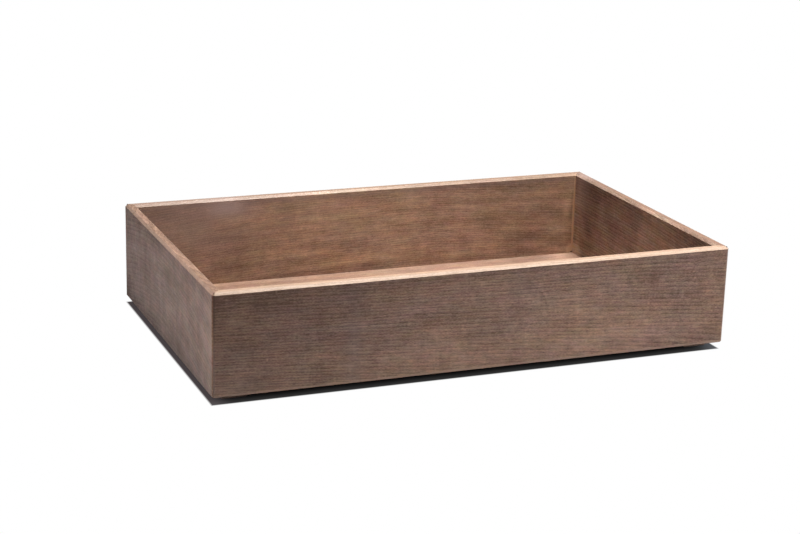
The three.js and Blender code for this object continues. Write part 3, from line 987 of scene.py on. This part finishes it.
class CRATE_OT_build_feet(bpy.types.Operator):
    """Builds the four rubber feet"""

    bl_idname = "crate.build_feet"
    bl_label = "Build Feet"

    def execute(self, context):
        rubber = moulded_rubber(context.scene.crate_fixings)
        for corner in CORNERS:
            node = f"foot_{corner}"
            bm = foot_mesh(context.scene.crate_feet, *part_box(node))
            piece = make_piece(bm, f"{node}_pad", rubber)
            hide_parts(node)
        return {"FINISHED"}


class CRATE_OT_finish_fixings(bpy.types.Operator):
    """Gives the screws, washers, pins and tongues their finishes"""

    bl_idname = "crate.finish_fixings"
    bl_label = "Finish Fixings"

    def execute(self, context):
        look = context.scene.crate_fixings
        steel = plated_steel(look)
        hardwood = bare_hardwood(look)
        for node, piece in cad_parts.items():
            finish = None
            if node.startswith(("foot_screw", "foot_washer", "base_pin")):
                finish = steel
            elif node.startswith("corner_spline"):
                finish = hardwood
            if finish:
                piece.data.materials.clear()
                piece.data.materials.append(finish)
        return {"FINISHED"}


# Studio
# Where each lamp stands, what it is aimed at, the length of its sides and the setting with its power
LAMPS = {
    "overhead_light": {"place": (0.3, -0.06, 1.3), "aim": (0, 0, 0), "side": 0.5, "power": "overhead"},
    "right_fill_light": {"place": (0.75, -0.85, 0.3), "aim": (0.2, -0.16, 0.05), "side": 0.4,
                         "power": "right_fill"},
    "left_fill_light": {"place": (-1.6, -0.35, 0.4), "aim": (-0.265, -0.1, 0.05), "side": 0.5,
                        "power": "left_fill"},
}
# How far the floor reaches to each side
FLOOR_REACH = 3

# How softly the painted edge of the shadow ends, and how far short of the crate it ends where the light
# comes from
SHADOW_EDGE = 0.002
SHADOW_SHORT_RIGHT = 0.0055
SHADOW_SHORT_BACK = 0.0065

# Painted light: a glow in the floor where light creeps in under the front, the left end and the right end
GLOWS = {
    "front": {"reach": 0.009, "strength": 0.028, "tint": (1, 1, 1)},
    "left": {"reach": 0.013, "strength": 0.062, "tint": (1, 0.83, 0.87)},
    "right": {"reach": 0.013, "strength": 0.078, "tint": (0.92, 0.97, 1.08)},
}


def seen_directly(nodes):
    """One for the rays of the camera, of reflections and of glass, which see the backdrop."""
    kinds = ("Camera", "Glossy", "Transmission")
    rays = [nodes.add("ShaderNodeLightPath", output=f"Is {kind} Ray") for kind in kinds]
    return rays[0].math("MAXIMUM", rays[1]).math("MAXIMUM", rays[2])


def grey(nodes, level):
    return nodes.add("ShaderNodeBsdfDiffuse", None, {"Color": rgba([level] * 3)})


def floor_finish(look):
    """White all round the crate, and dark where the crate's shadow lies under it: the shade is painted as a
    darker floor, lit by the lamps, cut off along a painted edge and lit by a painted glow.
    """
    material = bpy.data.materials.new("white_floor")
    nodes = Nodes(material)
    x, y, _ = nodes.object_place()
    inside = {"left": x + HALF_LENGTH, "right": HALF_LENGTH - SHADOW_SHORT_RIGHT - x,
              "front": y + HALF_WIDTH, "back": HALF_WIDTH - SHADOW_SHORT_BACK - y}
    nearest = inside["back"]
    for side in GLOWS:
        nearest = nearest.math("MINIMUM", inside[side])
    clear = (nearest / -SHADOW_EDGE).clamped()
    white = nodes.add("ShaderNodeEmission", None, {"Color": rgba((1, 1, 1))})
    glow = rgba((0, 0, 0))
    for side, light in GLOWS.items():
        share = soft_spot(inside[side] / light["reach"]) * light["strength"]
        glow = nodes.mix(share.clamped(), glow, rgba(light["tint"]), "ADD")
    glow = nodes.add("ShaderNodeEmission", None, {"Color": glow})
    shadow = nodes.add("ShaderNodeAddShader", None, [grey(nodes, look.floor_shade), glow])
    shown = nodes.add("ShaderNodeMixShader", None, [clear, shadow, white])
    bounce = grey(nodes, look.floor_bounce)
    surface = nodes.add("ShaderNodeMixShader", None, [seen_directly(nodes), bounce, shown])
    nodes.end("ShaderNodeOutputMaterial", surface)
    return material


def make_floor(look):
    bm = bmesh.new()
    bmesh.ops.create_grid(bm, x_segments=1, y_segments=1, size=FLOOR_REACH)
    mesh = bpy.data.meshes.new("studio_floor")
    bm.to_mesh(mesh)
    bm.free()
    mesh.materials.append(floor_finish(look))
    floor = bpy.data.objects.new("studio_floor", mesh)
    bpy.context.scene.collection.objects.link(floor)


def make_backdrop():
    """A white backdrop all round, which throws no light of its own on the crate."""
    world = bpy.data.worlds.new("studio_backdrop")
    nodes = Nodes(world)
    dark = nodes.add("ShaderNodeBackground", None, {"Color": rgba((0, 0, 0))})
    white = nodes.add("ShaderNodeBackground", None, {"Color": rgba((1, 1, 1))})
    shown = nodes.add("ShaderNodeMixShader", None, [seen_directly(nodes), dark, white])
    nodes.end("ShaderNodeOutputWorld", shown)
    bpy.context.scene.world = world


def make_lamp(name, lamp, power):
    light = bpy.data.lights.new(name, "AREA")
    light.shape = "SQUARE"
    light.size = lamp["side"]
    light.energy = power
    holder = bpy.data.objects.new(name, light)
    place = Vector(lamp["place"])
    holder.location = place
    holder.rotation_euler = (Vector(lamp["aim"]) - place).to_track_quat("-Z", "Y").to_euler()
    holder.visible_camera = False
    bpy.context.scene.collection.objects.link(holder)


def make_camera(look):
    turn, dip, roll = look.camera_turn, look.camera_dip, look.camera_roll
    back = Vector((math.sin(turn) * math.cos(dip), -math.cos(turn) * math.cos(dip), math.sin(dip)))
    right = Vector((math.cos(turn), math.sin(turn), 0))
    up = back.cross(right)
    leaned_right = right * math.cos(roll) + up * math.sin(roll)
    leaned_up = up * math.cos(roll) - right * math.sin(roll)
    axes = Matrix((leaned_right, leaned_up, back)).transposed().to_4x4()
    lens = bpy.data.cameras.new("camera")
    lens.sensor_width = look.film_width
    lens.lens = look.focal_length
    camera = bpy.data.objects.new("camera", lens)
    camera.matrix_world = Matrix.Translation(look.camera_place) @ axes
    bpy.context.scene.collection.objects.link(camera)
    bpy.context.scene.camera = camera


class CRATE_OT_set_stage(bpy.types.Operator):
    """Sets up the floor, the backdrop, the lamps and the camera"""

    bl_idname = "crate.set_stage"
    bl_label = "Set Stage"

    def execute(self, context):
        look = context.scene.crate_studio
        make_floor(look)
        make_backdrop()
        for name, lamp in LAMPS.items():
            make_lamp(name, lamp, getattr(look, lamp["power"]))
        make_camera(look)
        context.scene.view_settings.view_transform = "Standard"
        return {"FINISHED"}


BUILDERS = (CRATE_OT_build_walls, CRATE_OT_build_base, CRATE_OT_build_feet, CRATE_OT_finish_fixings,
            CRATE_OT_set_stage)


class CRATE_PT_panel(bpy.types.Panel):
    """Lists the builders of the crate"""

    bl_label = "Ash Crate"
    bl_idname = "CRATE_PT_panel"
    bl_space_type = "VIEW_3D"
    bl_region_type = "UI"
    bl_category = "Crate"

    def draw(self, context):
        for builder in BUILDERS:
            self.layout.operator(builder.bl_idname)


SETTINGS = {
    "crate_shape": CrateShape,
    "crate_feet": FootShape,
    "crate_wood": WoodLook,
    "crate_fixings": FixingLook,
    "crate_studio": StudioLook,
}


def register():
    for group in SETTINGS.values():
        bpy.utils.register_class(group)
    for builder in BUILDERS:
        bpy.utils.register_class(builder)
    bpy.utils.register_class(CRATE_PT_panel)
    for name, group in SETTINGS.items():
        setattr(bpy.types.Scene, name, PointerProperty(type=group))


def unregister():
    for name in SETTINGS:
        delattr(bpy.types.Scene, name)
    bpy.utils.unregister_class(CRATE_PT_panel)
    for builder in reversed(BUILDERS):
        bpy.utils.unregister_class(builder)
    for group in reversed(list(SETTINGS.values())):
        bpy.utils.unregister_class(group)


def main():
    register()
    bpy.ops.crate.build_walls()
    bpy.ops.crate.build_base()
    bpy.ops.crate.build_feet()
    bpy.ops.crate.finish_fixings()
    bpy.ops.crate.set_stage()


if __name__ == "__main__":
    main()
